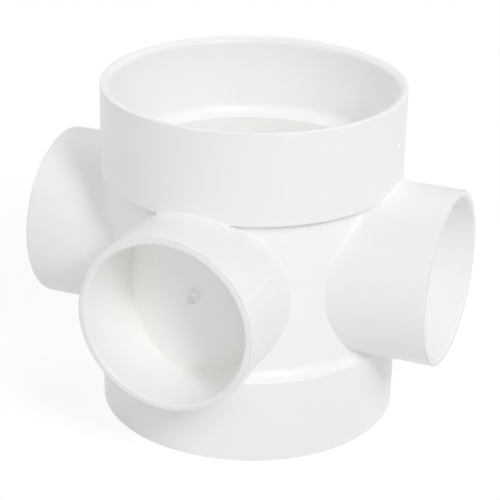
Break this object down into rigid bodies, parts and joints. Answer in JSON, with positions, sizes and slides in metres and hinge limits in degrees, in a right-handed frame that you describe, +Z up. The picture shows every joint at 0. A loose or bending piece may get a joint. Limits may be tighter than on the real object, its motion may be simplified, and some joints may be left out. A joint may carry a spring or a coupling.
{
  "type": "short boss pipe",
  "caption": "Short drain pipe fitting with a socket at each end and closed round bosses on its sides, moulded in white plastic to join waste pipes to a soil stack.",
  "frame": {"origin": "centre of the lower rim's plane, on the pipe's axis", "axes": "+Z up the pipe's axis, -Y out along the middle boss, +X and -X out along the other two"},
  "size_m": [0.1654, 0.1417, 0.133],
  "materials": {
    "white_pvc": "gloss"
  },
  "bodies": {
    "root": {"boss_pipe": "white_pvc"}
  },
  "joints": []
}
